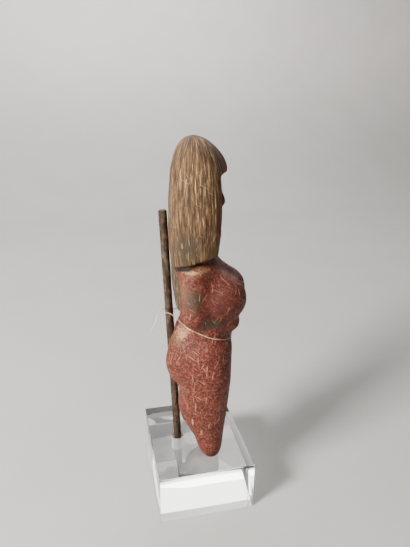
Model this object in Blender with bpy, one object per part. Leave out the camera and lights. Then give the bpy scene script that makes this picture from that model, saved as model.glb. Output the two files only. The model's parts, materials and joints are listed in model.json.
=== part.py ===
"""A clay figurine of a standing woman, tied upright to a thin metal rod that stands in a clear acrylic block.

Metres, +Z up. The origin is at the centre of the block's underside, +X runs along the block's front edge and
-Y is the side that the front of the block faces. The figurine is shaped in its own upright frame, in
millimetres: x towards its face, y towards its left, z up from the soles. It is then leaned and turned into place.
"""
import math

import bmesh
import bpy
import numpy as np
from mathutils import Matrix, Vector

MM = 0.001
GAP = 0.3

# The clear block, and the drilled hole that the rod stands in
BLOCK_WIDTH = 36.0
BLOCK_DEPTH = 43.0
BLOCK_HEIGHT = 20.0
BLOCK_EDGE = 0.35
HOLE_X = -7.2
HOLE_Y = 1.4
HOLE_RADIUS = 2.4
HOLE_DEPTH = 10.5
HOLE_SIDES = 32

# The rod
ROD_RADIUS = 1.5
ROD_FOOT = (-6.7, 1.2, 9.9)
ROD_TOP = (-12.0, 3.4, 112.6)
ROD_END_ROUND = 0.5
ROD_SIDES = 20

# The thread that ties the waist to the rod
TIE_RADIUS = 0.16
TIE_STEP = 1.4
TIE_OFF_CLAY = 0.7
# Angles between which it lies in the waist's crease, from the figurine's right side round its front to its left
TIE_RING = (-130.0, 130.0, 12.0)
# The rest of its route in the figurine's frame: off the rod's right side at the start, and at the end round
# behind the rod and down to the loose end
TIE_START = [(-14.7, -0.9, 55.4), (-13.6, -1.5, 55.4), (-12.2, -2.2, 55.2), (-10.6, -4.6, 54.8)]
TIE_END = [
    (-10.6, 5.2, 54.9),
    (-12.0, 3.6, 55.3),
    (-13.4, 2.8, 55.7),
    (-14.7, 2.1, 56.0),
    (-15.3, 0.8, 56.2),
    (-15.5, -0.4, 56.4),
    (-16.2, -1.1, 56.3),
    (-16.9, -1.0, 55.4),
    (-17.5, -0.7, 53.8),
    (-18.5, -0.4, 51.2),
    (-20.5, 0.0, 47.7),
]

# How the figurine stands: soles, turn from +X, lean back and lean to its left
STAND_AT = (4.0, -8.6, BLOCK_HEIGHT + GAP + 0.6)
TURN = -16.0
LEAN_BACK = 3.7
LEAN_LEFT = 6.5

# The figurine's main levels
CROWN = 117.2
DOME = 103.0
FRINGE = 103.9
CHIN = 80.5
HAIR_EDGE = 77.0
HAIR_TAIL = 58.0
WAIST = 50.8
CROTCH = 9.0

# The head's forms
DOME_SHIFT = -1.6
FRINGE_CENTRE = (2.6, 0.0, 106.4)
FRINGE_RADII = (7.0, 8.6, 6.2)
FRINGE_SAG = 0.004
FACE_FRONT = 7.2
FACE_HALF_WIDTH = 9.2
HAIR_FRONT = 9.2
HAIR_FRONT_SWELL = 0.8
LOCKS = 28
LOCK_DEPTH = 0.25

# The waist crease slopes down from back to front, and the hair's lower edge from front to back
WAIST_SLOPE = 0.4
WAIST_CREASE = 0.5
EDGE_SLOPE = -0.2
EDGE_FROM_X = 6.4
# Rings near either of them slope like it, less and less up to this far from it
TILT_FADE = 11.0

# The feet
SOLE_ROUND = 5.6
SOLE_X = 0.5
SOLE_DROP = {1: 0.0, -1: 1.1}
CROTCH_ARCH = 1.0
SOLE_RINGS = (6.0, 3.6, 1.8, 0.6)

# The grid of points that the clay surface is read at
AROUND = 56
EDGE_RAY = 6
CROTCH_POINTS = 3
REACH = 26.0
RAY_STEP = 0.25
RING_BANDS = [
    (106.0, 103.0, 4),
    (103.0, 84.0, 13),
    (84.0, 77.1, 4),
    (77.1, 76.5, 1),
    (76.5, 60.0, 9),
    (60.0, 52.2, 6),
    (52.2, 49.4, 4),
    (49.4, 32.0, 8),
    (32.0, 26.0, 3),
    (26.0, 9.0, 6),
]
# Where the rings' middles lie: height, x
SPINE = [
    (118.0, -1.6),
    (103.0, -0.5),
    (80.0, -2.2),
    (64.0, 1.0),
    (52.0, 0.0),
    (40.0, -2.0),
    (22.0, -1.6),
    (9.0, -0.4),
]

# Outlines at a level: height, back, front, half width. Each list starts at the top.
HAIR_OUTLINE = [
    (103.0, -9.6, 9.6, 15.2),
    (98.0, -10.3, 9.8, 15.9),
    (92.0, -10.8, 9.9, 16.1),
    (86.0, -11.1, 9.3, 15.7),
    (80.0, -11.0, 7.9, 14.6),
    (75.0, -10.8, 6.4, 13.6),
]
TORSO_OUTLINE = [
    (80.0, -8.5, 4.2, 7.5),
    (77.0, -9.4, 5.0, 9.6),
    (74.0, -9.9, 6.2, 12.6),
    (70.0, -10.0, 8.0, 14.4),
    (64.0, -9.6, 9.2, 14.4),
    (58.0, -8.8, 9.4, 13.2),
    (54.0, -9.2, 9.4, 12.8),
    (49.0, -10.6, 9.5, 14.0),
    (43.0, -11.0, 9.2, 15.6),
    (36.0, -9.8, 7.6, 14.0),
    (28.0, -7.4, 5.4, 9.0),
    (22.0, -5.5, 4.0, 4.0),
]
LEG_OUTLINE = [
    (46.0, -10.4, 9.4, 7.6, 7.4),
    (38.0, -9.9, 9.3, 7.9, 7.7),
    (30.0, -10.0, 8.6, 7.4, 7.4),
    (22.0, -10.7, 7.4, 6.7, 6.8),
    (18.0, -10.1, 6.8, 6.2, 6.3),
    (14.0, -8.1, 6.0, 5.7, 5.8),
    (10.0, -5.9, 5.3, 5.2, 5.4),
    (5.0, -4.5, 4.6, 4.6, 5.1),
    (0.0, -3.7, 3.8, 4.1, 5.0),
]


def clear_scene():
    for thing in list(bpy.data.objects):
        bpy.data.objects.remove(thing, do_unlink=True)


def material(name, colour, roughness, metallic=0.0, transmission=0.0):
    made = bpy.data.materials.new(name)
    made.use_nodes = True
    shader = made.node_tree.nodes["Principled BSDF"]
    shader.inputs["Base Color"].default_value = (*colour, 1.0)
    shader.inputs["Roughness"].default_value = roughness
    shader.inputs["Metallic"].default_value = metallic
    shader.inputs["Transmission Weight"].default_value = transmission
    return made


def add_object(name, mesh_data, finish):
    thing = bpy.data.objects.new(name, mesh_data)
    bpy.context.scene.collection.objects.link(thing)
    thing.data.materials.append(finish)
    return thing


def levels_between(heights, values, z):
    """A smooth curve through the values given at a few heights."""
    order = np.argsort(heights)
    h = np.asarray(heights, float)[order]
    v = np.asarray(values, float)[order]
    slope = np.gradient(v, h)
    z = np.clip(z, h[0], h[-1])
    i = np.clip(np.searchsorted(h, z) - 1, 0, len(h) - 2)
    step = h[i + 1] - h[i]
    t = (z - h[i]) / step
    rise = t * t * (3 - 2 * t)
    lead = t * (1 - t) ** 2
    trail = t * t * (t - 1)
    return v[i] * (1 - rise) + v[i + 1] * rise + step * (lead * slope[i] + trail * slope[i + 1])


def smooth_step(value, low, high):
    t = np.clip((value - low) / (high - low), 0.0, 1.0)
    return t * t * (3 - 2 * t)


def join(a, b, softness):
    """The nearer of two bodies, run together over a soft seam, as clay is pressed on."""
    h = np.clip(0.5 + 0.5 * (b - a) / softness, 0.0, 1.0)
    return b * (1 - h) + a * h - softness * h * (1 - h)


def cut(a, b, softness):
    """Body a with body b pressed out of it."""
    return -join(-a, b, softness)


def rounded_bar(points, start, end, start_radius, end_radius):
    start = np.asarray(start, float)
    along = np.asarray(end, float) - start
    t = np.clip((points - start) @ along / (along @ along), 0.0, 1.0)
    nearest = start + t[:, None] * along
    return np.linalg.norm(points - nearest, axis=1) - (start_radius + t * (end_radius - start_radius))


def ball(points, centre, radii):
    scaled = (points - np.asarray(centre, float)) / np.asarray(radii, float)
    reach = np.linalg.norm(scaled, axis=1)
    return (reach - 1.0) * min(radii)


def outline_body(points, back, front, half_width, middle_y, squareness):
    """How far points lie outside a rounded outline at their own level."""
    centre = (front + back) / 2
    depth = np.maximum((front - back) / 2, 0.01)
    width = np.maximum(half_width, 0.01)
    u = np.abs((points[:, 0] - centre) / depth)
    v = np.abs((points[:, 1] - middle_y) / width)
    reach = (u ** squareness + v ** squareness) ** (1.0 / squareness)
    return (reach - 1.0) * np.minimum(depth, width)


def outline_at(outline, z):
    heights = [row[0] for row in outline]
    return [levels_between(heights, [row[k] for row in outline], z) for k in range(1, len(outline[0]))]


def hair(points):
    """The long helmet of hair, its dome over the crown, and its lower edge, lowest down the back."""
    x, y, z = points.T
    back, front, width = outline_at(HAIR_OUTLINE, z)
    rise = np.clip((z - DOME) / (CROWN - DOME), 0.0, 1.0)
    shrink = np.sqrt(1.0 - rise ** 2)
    middle = (front + back) / 2 + DOME_SHIFT * rise ** 3
    depth = (front - back) / 2 * shrink
    body = outline_body(points, middle - depth, middle + depth, width * shrink, 0.0, 2.7 - 0.6 * rise)
    body = join(body, ball(points, FRINGE_CENTRE, FRINGE_RADII), 1.2)
    edge = HAIR_EDGE - EDGE_SLOPE * (x - EDGE_FROM_X)
    ends = smooth_step(CROWN - z, 1.0, 8.0) * smooth_step(z - edge, 1.0, 4.0)
    body = body + LOCK_DEPTH * np.cos(LOCKS * np.arctan2(y, x)) * ends
    body = np.maximum(body, edge - z)
    tail = outline_body(points, -11.0 + 0.01 * (70.0 - z) ** 2, -3.0, 9.4, 0.0, 3.2)
    tail = np.maximum(np.maximum(tail, HAIR_TAIL - z), z - 90.0)
    return join(body, tail, 0.4)


def face_width(z):
    """Half the width of the opening between the hair's two front edges."""
    return FACE_HALF_WIDTH - 2.6 * smooth_step(CHIN + 9.0 - z, 0.0, 12.0)


def face_hollow(points):
    """The space under the fringe and in front of the face, down to the neck."""
    x, y, z = points.T
    face_front = FACE_FRONT - 0.016 * y ** 2 - 2.8 * smooth_step(CHIN + 2.5 - z, 0.0, 5.5)
    sides = (np.abs(y) - face_width(z)) * 0.6
    opening = -join(-sides, FRINGE - FRINGE_SAG * y ** 2 - z, 1.2)
    return -join(-opening, x - face_front, 1.2)


def features(points, side):
    """One brow and, shared by both sides, the nose."""
    nose = rounded_bar(points, (6.4, 0.0, 99.0), (7.2, 0.0, 94.6), 1.1, 1.7)
    brow = rounded_bar(points, (6.6, side * 1.6, 99.2), (6.2, side * 4.8, 98.9), 0.95, 0.8)
    return join(nose, brow, 1.0)


def slits(points, side):
    """One slit eye and, shared by both sides, the slit mouth."""
    eye = rounded_bar(points, (7.4, side * 2.7, 96.5), (7.1, side * 4.8, 96.3), 0.75, 0.6)
    mouth = rounded_bar(points, (7.5, 0.0, 88.6), (7.3, side * 2.6, 88.4), 0.75, 0.6)
    return np.minimum(eye, mouth)


def head_and_hair(points):
    body = cut(hair(points), face_hollow(points), 1.2)
    for side in (-1, 1):
        body = join(body, features(points, side), 0.6)
    for side in (-1, 1):
        body = cut(body, slits(points, side), 0.3)
    return body


def trunk(points):
    z = points[:, 2]
    back, front, width = outline_at(TORSO_OUTLINE, z)
    body = outline_body(points, back, front, width, 0.0, 2.3)
    return np.maximum(np.maximum(body, z - 80.0), 22.0 - z)


def breast_and_arm(points, side):
    """One breast, and the arm that hangs beside it and folds under it to the belly."""
    breast = ball(points, (6.2, side * 7.6, 61.8), (9.0, 7.6, 8.0))
    slope = rounded_bar(points, (2.0, side * 5.4, 71.6), (8.0, side * 7.4, 64.5), 3.2, 5.6)
    upper = rounded_bar(points, (-2.4, side * 12.6, 70.2), (-2.6, side * 12.6, 59.0), 4.2, 4.0)
    fore = rounded_bar(points, (-2.6, side * 12.2, 57.3), (9.0, side * 5.8, 53.4), 4.2, 3.9)
    bust = join(join(breast, slope, 3.0), ball(points, (4.6, 0.0, 66.0), (7.4, 6.0, 7.4)), 2.5)
    return join(bust, join(upper, fore, 2.0), 0.8)


def hip(points, side):
    seat = ball(points, (-6.7, side * 8.6, 39.6), (7.5, 6.3, 9.4))
    flank = ball(points, (-5.0, side * 7.0, 46.0), (7.2, 7.0, 8.0))
    return join(seat, flank, 2.0)


def leg(points, side):
    """One leg, tapering to a blunt foot. The right one is longer, because the figurine leans to its left."""
    drop = SOLE_DROP[side]
    z = points[:, 2] + drop * np.clip(1.0 - points[:, 2] / 20.0, 0.0, 1.0)
    back, front, width, middle_y = outline_at(LEG_OUTLINE, z)
    turn_in = np.clip((SOLE_ROUND - z) / SOLE_ROUND, 0.0, 1.0)
    shrink = np.sqrt(1.0 - turn_in ** 2.2)
    middle = (front + back) / 2 + 0.5 * turn_in
    depth = (front - back) / 2 * shrink
    body = outline_body(points, middle - depth, middle + depth, width * shrink, side * middle_y, 2.2)
    return np.maximum(body, z - 46.0)


def web(points):
    """The clay between the legs, behind the groove that parts them."""
    z = points[:, 2]
    half = levels_between([CROTCH - 1.0, 14.0, 24.0, 44.0], [2.2, 4.2, 6.8, 9.0], z)
    body = outline_body(points, -1.5 - half, -0.6 + half * 0.85, 2.8 + 0 * z, 0.0, 2.0)
    return np.maximum(body, z - 44.0)


def clay(points):
    """The whole figurine above the parting of the feet: below zero inside the clay."""
    body = trunk(points)
    for side in (-1, 1):
        body = join(body, breast_and_arm(points, side), 1.6)
        body = join(body, join(hip(points, side), leg(points, side), 0.6), 2.0)
    body = join(body, web(points), 1.0)
    crease = points[:, 2] - (WAIST - WAIST_SLOPE * points[:, 0])
    body = body + WAIST_CREASE * np.exp(-(crease / 1.0) ** 2)
    return join(head_and_hair(points), body, 0.5)


def surface(body, centres, angles, heights):
    """The outermost points of a body on level rays, each from its own centre at its own height."""
    rays = np.stack([np.cos(angles), np.sin(angles)], axis=1)

    def at(reach):
        return np.column_stack([centres + rays * reach[:, None], heights])

    low = np.full(len(angles), 0.3)
    found = np.zeros(len(angles), bool)
    for reach in np.arange(REACH, 0.0, -RAY_STEP):
        inside = body(at(np.full(len(angles), reach))) < 0
        low = np.where(inside & ~found, reach, low)
        found |= inside
    high = low + RAY_STEP
    for _ in range(14):
        middle = (low + high) / 2
        inside = body(at(middle)) < 0
        low = np.where(inside, middle, low)
        high = np.where(inside, high, middle)
    return at((low + high) / 2)


def tilt(points):
    """Level rings moved onto the slope of the waist's crease or the hair's edge where they are near it."""
    x, y, z = points.T
    near_waist = smooth_step(TILT_FADE - np.abs(z - WAIST), 0.0, TILT_FADE)
    near_edge = smooth_step(TILT_FADE - np.abs(z - HAIR_EDGE), 0.0, TILT_FADE)
    drop = WAIST_SLOPE * x * near_waist + EDGE_SLOPE * (x - EDGE_FROM_X) * near_edge
    return np.column_stack([x, y, z - drop])


def ring_heights():
    """Levels of the rings, closer together where the clay is cut in or turns under."""
    dome = [DOME + (CROWN - DOME) * math.sin(math.radians(a)) for a in (80, 68, 57, 46, 36, 27, 18)]
    levels = dome
    for top, bottom, count in RING_BANDS:
        levels += list(np.linspace(top, bottom, count, endpoint=False))
    return levels + [CROTCH]


def ray_angles(level, middle_x):
    """Directions of a level's rays: evenly spread, but one each side of the hair's front edge."""
    even = np.arange(AROUND // 2 + 1) * 2 * math.pi / AROUND
    reach = HAIR_FRONT + HAIR_FRONT_SWELL * smooth_step(level, 84.0, 92.0) - middle_x
    inner = math.atan2(face_width(level) - 0.3, reach)
    outer = math.atan2(face_width(level) + 1.3, reach)
    pinned = [0, EDGE_RAY, EDGE_RAY + 1, 2 * EDGE_RAY, AROUND // 2]
    half = np.interp(even, even[pinned], [0.0, inner, outer, even[2 * EDGE_RAY], math.pi])
    return np.concatenate([half, -half[-2:0:-1]])


def figurine_mesh():
    """Rings of quads from the crown to the crotch, then a ring round each leg to its sole."""
    form = bmesh.new()

    def add(points):
        return [form.verts.new(Vector(p) * MM) for p in points]

    def bridge(upper, lower):
        for i in range(len(upper)):
            j = (i + 1) % len(upper)
            form.faces.new((upper[i], lower[i], lower[j], upper[j]))

    crown = form.verts.new(Vector((DOME_SHIFT, 0, CROWN)) * MM)
    levels = np.array(ring_heights())
    middle_x = levels_between([row[0] for row in SPINE], [row[1] for row in SPINE], levels)
    centres = np.column_stack([np.repeat(middle_x, AROUND), np.zeros(AROUND * len(levels))])
    turn = np.concatenate([ray_angles(level, x) for level, x in zip(levels, middle_x)])
    points = tilt(surface(lambda spots: clay(tilt(spots)), centres, turn, np.repeat(levels, AROUND)))
    rings = [add(points[i * AROUND : (i + 1) * AROUND]) for i in range(len(levels))]
    for i in range(AROUND):
        form.faces.new((crown, rings[0][i], rings[0][(i + 1) % AROUND]))
    for upper, lower in zip(rings, rings[1:]):
        bridge(upper, lower)

    split = rings[-1]
    front, back = split[0].co, split[AROUND // 2].co
    between = [front.lerp(back, (k + 1) / (CROTCH_POINTS + 1)) for k in range(CROTCH_POINTS)]
    crotch = [form.verts.new(point + Vector((0, 0, CROTCH_ARCH * MM))) for point in between]
    for side in (1, -1):
        half = split[: AROUND // 2 + 1] if side > 0 else [split[0]] + split[: AROUND // 2 - 1 : -1]
        upper = half + crotch[::-1]
        centre = (-0.4, side * 5.2)
        flat = np.array([vert.co[:2] for vert in upper]) / MM - centre
        angles = np.arctan2(flat[:, 1], flat[:, 0])
        for height in SOLE_RINGS:
            level = np.full(len(angles), height - SOLE_DROP[side] * (1.0 - height / SOLE_RINGS[0]))
            middle = np.array([centre] * len(angles))
            lower = add(surface(lambda spots: leg(spots, side), middle, angles, level))
            bridge(upper, lower)
            upper = lower
        sole = form.verts.new(Vector((SOLE_X, side * 5.0, -SOLE_DROP[side])) * MM)
        for i in range(len(upper)):
            form.faces.new((upper[i], sole, upper[(i + 1) % len(upper)]))
    bmesh.ops.recalc_face_normals(form, faces=form.faces)
    mesh = bpy.data.meshes.new("figurine")
    form.to_mesh(mesh)
    form.free()
    mesh.shade_smooth()
    return mesh


def figurine_place():
    """Lean back, then to its left, then turn, with the soles' middle at the standing point."""
    return (
        Matrix.Translation(Vector(STAND_AT) * MM)
        @ Matrix.Rotation(math.radians(TURN), 4, "Z")
        @ Matrix.Rotation(math.radians(-LEAN_BACK), 4, "Y")
        @ Matrix.Rotation(math.radians(-LEAN_LEFT), 4, "X")
    )


def make_figurine():
    clay_red = material("burnished_clay", (0.24, 0.10, 0.07), 0.5)
    thing = add_object("figurine", figurine_mesh(), clay_red)
    thing.matrix_world = figurine_place()


def smooth_route(knots, step):
    """Points an even step apart on the smooth curve through the knots."""
    knots = np.array(knots, float)
    ahead = 2 * knots[0] - knots[1]
    behind = 2 * knots[-1] - knots[-2]
    padded = np.vstack([ahead, knots, behind])
    fine = []
    for a, b, c, d in zip(padded, padded[1:], padded[2:], padded[3:]):
        for t in np.arange(0.0, 1.0, 0.05):
            bend = 2 * b + (c - a) * t + (2 * a - 5 * b + 4 * c - d) * t**2 + (3 * b - a - 3 * c + d) * t**3
            fine.append(0.5 * bend)
    fine = np.array(fine + [knots[-1]])
    run = np.concatenate([[0.0], np.cumsum(np.linalg.norm(np.diff(fine, axis=0), axis=1))])
    count = int(round(run[-1] / step)) + 1
    even = np.linspace(0.0, run[-1], count)
    return np.column_stack([np.interp(even, run, fine[:, axis]) for axis in range(3)])


def tie_route():
    """Knots of the thread's route: its start, the ring just off the clay of the waist's crease, and its end."""
    first, last, step = TIE_RING
    angles = np.radians(np.arange(first, last + 1.0, step))

    middle = np.zeros((len(angles), 2))
    ring = surface(lambda spots: clay(tilt(spots)), middle, angles, np.full(len(angles), WAIST))
    ring[:, :2] += TIE_OFF_CLAY * np.column_stack([np.cos(angles), np.sin(angles)])
    return np.vstack([TIE_START, tilt(ring), TIE_END])


def make_tie():
    """The thread, whole, as a thin tube on its route."""
    nylon = material("nylon", (0.85, 0.86, 0.88), 0.25)
    curve = bpy.data.curves.new("nylon_tie", "CURVE")
    curve.dimensions = "3D"
    curve.bevel_depth = TIE_RADIUS * MM
    curve.bevel_resolution = 2
    curve.use_fill_caps = True
    points = smooth_route(tie_route(), TIE_STEP)
    spline = curve.splines.new("POLY")
    spline.points.add(len(points) - 1)
    for point, place in zip(spline.points, points):
        point.co = (*(place * MM), 1.0)
    thing = add_object("nylon_tie", curve, nylon)
    thing.matrix_world = figurine_place()


def make_rod():
    """A straight rod, its ends slightly rounded over."""
    dark_metal = material("dark_metal", (0.07, 0.055, 0.045), 0.45, metallic=0.8)
    foot, top = Vector(ROD_FOOT) * MM, Vector(ROD_TOP) * MM
    along = top - foot
    form = bmesh.new()
    placed = Matrix.Translation((foot + top) / 2) @ along.to_track_quat("Z", "Y").to_matrix().to_4x4()
    bmesh.ops.create_cone(
        form,
        cap_ends=True,
        segments=ROD_SIDES,
        radius1=ROD_RADIUS * MM,
        radius2=ROD_RADIUS * MM,
        depth=along.length,
    )
    rims = [edge for edge in form.edges if abs(edge.verts[0].co.z - edge.verts[1].co.z) < 1e-6]
    bmesh.ops.bevel(form, geom=rims, offset=ROD_END_ROUND * MM, segments=2, affect="EDGES", profile=0.5)
    mesh = bpy.data.meshes.new("support_rod")
    form.to_mesh(mesh)
    form.free()
    mesh.shade_smooth()
    thing = add_object("support_rod", mesh, dark_metal)
    thing.matrix_world = placed


def make_block():
    """The clear block with its finely broken edges, and the drilled hole."""
    clear = material("clear_acrylic", (0.95, 0.96, 0.96), 0.02, transmission=1.0)
    form = bmesh.new()
    size = Vector((BLOCK_WIDTH, BLOCK_DEPTH, BLOCK_HEIGHT)) * MM
    bmesh.ops.create_cube(form, size=1.0, matrix=Matrix.Diagonal((*size, 1.0)))
    bmesh.ops.bevel(form, geom=form.edges[:], offset=BLOCK_EDGE * MM, segments=1, affect="EDGES")
    mesh = bpy.data.meshes.new("acrylic_block")
    form.to_mesh(mesh)
    form.free()
    thing = add_object("acrylic_block", mesh, clear)
    thing.location = (0, 0, BLOCK_HEIGHT / 2 * MM)

    drill_form = bmesh.new()
    bmesh.ops.create_cone(
        drill_form,
        cap_ends=True,
        segments=HOLE_SIDES,
        radius1=HOLE_RADIUS * MM,
        radius2=HOLE_RADIUS * MM,
        depth=2 * HOLE_DEPTH * MM,
    )
    drill_mesh = bpy.data.meshes.new("drill")
    drill_form.to_mesh(drill_mesh)
    drill_form.free()
    drill = bpy.data.objects.new("drill", drill_mesh)
    bpy.context.scene.collection.objects.link(drill)
    drill.location = (HOLE_X * MM, HOLE_Y * MM, BLOCK_HEIGHT * MM)
    drill.hide_render = True
    drill.display_type = "WIRE"
    hole = thing.modifiers.new("drilled hole", "BOOLEAN")
    hole.operation = "DIFFERENCE"
    hole.object = drill


def main():
    clear_scene()
    make_figurine()
    make_tie()
    make_rod()
    make_block()


main()
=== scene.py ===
"""A worn clay figurine of a standing woman with a long helmet of hair, tied to a thin rod in a clear block.

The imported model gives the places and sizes, in metres. The figurine's own forms are worked out in its upright
frame, in millimetres: x towards its face, y towards its left, z up from the soles.
"""

import json
import math

import bpy
import numpy as np
from bpy.props import FloatProperty, FloatVectorProperty, PointerProperty
from mathutils import Matrix, Vector, noise

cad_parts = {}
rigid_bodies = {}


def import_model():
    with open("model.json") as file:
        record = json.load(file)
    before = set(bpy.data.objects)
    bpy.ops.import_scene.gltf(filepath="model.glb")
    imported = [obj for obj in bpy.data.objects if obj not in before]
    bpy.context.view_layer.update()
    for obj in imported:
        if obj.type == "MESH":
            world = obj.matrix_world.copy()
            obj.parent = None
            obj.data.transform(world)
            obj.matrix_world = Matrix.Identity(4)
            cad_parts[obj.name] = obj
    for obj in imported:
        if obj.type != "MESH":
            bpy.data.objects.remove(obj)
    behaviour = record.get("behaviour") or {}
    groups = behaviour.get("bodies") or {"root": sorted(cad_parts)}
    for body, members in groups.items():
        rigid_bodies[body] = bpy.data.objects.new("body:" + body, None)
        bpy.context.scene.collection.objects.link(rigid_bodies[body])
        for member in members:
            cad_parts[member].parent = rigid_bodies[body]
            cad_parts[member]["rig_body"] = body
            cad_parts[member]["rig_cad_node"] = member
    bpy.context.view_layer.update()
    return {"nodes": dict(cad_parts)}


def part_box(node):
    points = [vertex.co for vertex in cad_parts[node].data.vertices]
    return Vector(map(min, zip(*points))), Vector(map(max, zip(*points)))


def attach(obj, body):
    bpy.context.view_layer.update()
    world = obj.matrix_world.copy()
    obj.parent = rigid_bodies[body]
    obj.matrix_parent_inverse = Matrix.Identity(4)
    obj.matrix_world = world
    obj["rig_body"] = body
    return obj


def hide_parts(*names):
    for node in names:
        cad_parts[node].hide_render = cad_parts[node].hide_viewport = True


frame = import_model()

bl_info = {
    "name": "Tied clay figurine",
    "version": (1, 0, 0),
    "blender": (4, 5, 0),
    "location": "View3D > Sidebar > Figurine",
    "description": "Builds the figurine, its rod, block and thread, and the stage around them",
    "category": "Object",
}

MM = 0.001

# Where the figurine stands, and how it is turned and leaned, in millimetres and degrees
STAND_AT = (4.0, -8.6, 20.9)
TURN = -16.0
LEAN_BACK = 3.7
LEAN_LEFT = 6.5

# The upright figurine's middle line, and the radius at which its surface is unrolled for the scratches
MIDDLE_X = -1.0
UNROLL_RADIUS = 14.0

# The hair: heights, the slope of its lower edge, and the tail down the back
CROWN = 117.2
FRINGE = 103.9
FRINGE_SAG = 0.004
HAIR_EDGE = 77.0
EDGE_SLOPE = 0.2
EDGE_FROM_X = 6.4
HAIR_TAIL = 58.0
TAIL_HALF_WIDTH = 9.4
TAIL_FRONT = -3.0
TAIL_BACK = -11.0
TAIL_SQUARENESS = 3.2
COMBED_LINES = 56.0

# The face, which lies in front of FACE_FROM_X and narrows towards the chin
CHIN = 80.5
FACE_FROM_X = 3.0
FACE_HALF_WIDTH = 9.2
FACE_NARROWING = 2.6

# The slits of the eyes and the mouth: from and to, both ways from the middle, and height
FACE_SLITS = ((2.2, 5.2, 96.4), (0.0, 2.7, 88.5))
SLIT_HALF_WIDTH = 0.72
SLIT_DEPTH = 0.65

# The nose's ridge, and the shallow hollow on each side of it
RIDGE_HALF_WIDTH = 0.9
RIDGE_RISE = 0.1
NOSE_HOLLOW_Y = 2.3
NOSE_HOLLOW_DEPTH = 0.4

# How far the hand's work and the clay's grain rise and fall, and the depth of the clay's bump relief
HAND_BROAD = 0.10
HAND_CLOSE = 0.05
GRAIN_DEPTH = 0.018
CLAY_BUMP = 0.14
# A crease this deep counts as a full hollow
FULL_HOLLOW = 0.35

# The rod and the block
ROD_FOOT = (-6.7, 1.2, 9.9)
ROD_TOP = (-12.0, 3.4, 112.6)
ROD_RADIUS = 1.5
ROD_END_ROUND = 0.55
ROD_BUMP = 0.05
HOLE_AT = (-7.2, 1.4)
HOLE_RADIUS = 2.4
HOLE_DEPTH = 10.5
# How far the drill that cuts the hole reaches out of the block's top
DRILL_PAST_TOP = 10.0
ACRYLIC_IOR = 1.49

# The thread's route on the upright figurine
TIE_RADIUS = 0.16
TIE_STEP = 1.4
TIE_ROUTE = [
    (-14.7, -0.9, 55.4),
    (-13.6, -1.5, 55.4),
    (-12.2, -2.2, 55.2),
    (-10.6, -4.6, 54.8),
    (-7.6, -9.1, 53.9),
    (-6.0, -11.3, 53.2),
    (-3.7, -12.7, 52.3),
    (-0.9, -13.4, 51.2),
    (1.9, -13.5, 50.0),
    (4.6, -12.6, 49.0),
    (6.7, -10.8, 48.1),
    (8.2, -8.4, 47.5),
    (9.0, -6.1, 47.2),
    (9.4, -3.8, 47.0),
    (9.6, -1.7, 46.9),
    (9.7, 0.3, 46.9),
    (9.6, 2.4, 47.0),
    (9.3, 4.5, 47.1),
    (8.8, 6.8, 47.3),
    (7.8, 9.2, 47.7),
    (6.1, 11.5, 48.4),
    (3.7, 13.0, 49.3),
    (0.9, 13.5, 50.4),
    (-1.9, 13.2, 51.5),
    (-4.5, 12.4, 52.6),
    (-6.6, 10.6, 53.5),
    (-10.6, 5.2, 54.9),
    (-12.0, 3.6, 55.3),
    (-13.4, 2.8, 55.7),
    (-14.7, 2.1, 56.0),
    (-15.3, 0.8, 56.2),
    (-15.5, -0.4, 56.4),
    (-16.2, -1.1, 56.3),
    (-16.9, -1.0, 55.4),
    (-17.5, -0.7, 53.8),
    (-18.5, -0.4, 51.2),
    (-20.5, 0.0, 47.7),
]

# The camera: its place in millimetres, its turns in degrees, its focal length for a 36 mm frame
CAMERA_AT = (-35.58, -150.44, 145.42)
CAMERA_YAW = 14.244
CAMERA_PITCH = 19.76
CAMERA_ROLL = 1.123
CAMERA_LENS = 30.27

# Fixed colours of small places
CUT_SHADOW = (0.012, 0.008, 0.006)
FROSTED_WALL = (0.98, 0.97, 0.96)
# Painted shade: the tints of the block's underside, which darken the floor seen through the block
UNDERSIDE_SHADE_DARK = (0.08, 0.075, 0.072)
UNDERSIDE_SHADE_PALE = (0.6, 0.57, 0.56)
# Painted refraction: the clay's colour seen through the clear thread where it lies on the figurine
THREAD_SEEN_THROUGH_DARK = (0.5, 0.3, 0.2)
THREAD_SEEN_THROUGH_PALE = (0.75, 0.55, 0.42)
THREAD_CLEAR = (0.98, 0.97, 0.95)

# The floor and its rise behind the figurine, in metres
FLOOR_WIDTH = 4.0
FLOOR_BACK = 0.75
FLOOR_FRONT = -2.0
FLOOR_HEIGHT = -0.05 * MM
BACKDROP_RISE = (0.0, 0.1, 0.42)
SWEEP_WIDTH = 0.3
SWEEP_SEGMENTS = 24

# The lights: places and sizes in millimetres, and colours
LIGHT_AIM = (0.0, 0.0, 60.0)
KEY_LIGHT = {"place": (-440.0, -215.0, 380.0), "size": 150.0, "colour": (1.0, 0.97, 0.93)}
WALL_LIGHT = {"place": (0.0, 420.0, 640.0), "size": 500.0, "colour": (1.0, 0.96, 0.94)}
WALL_LIGHT_TILT = 40.0
PANEL_SIZE = 1400.0
PANEL_COLOUR = (1.0, 0.98, 0.95)
# Each panel's place, and its share of the panels' power
PANELS = {"back_light": ((100.0, 900.0, 930.0), 1.0), "front_light": ((500.0, -1100.0, 1000.0), 0.5)}
ROOM_COLOUR = (1.0, 0.99, 0.98, 1.0)


def colour_setting(name, description, default):
    return FloatVectorProperty(
        name=name, description=description, default=default, subtype="COLOR", size=3, min=0.0, max=1.0
    )


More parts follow.
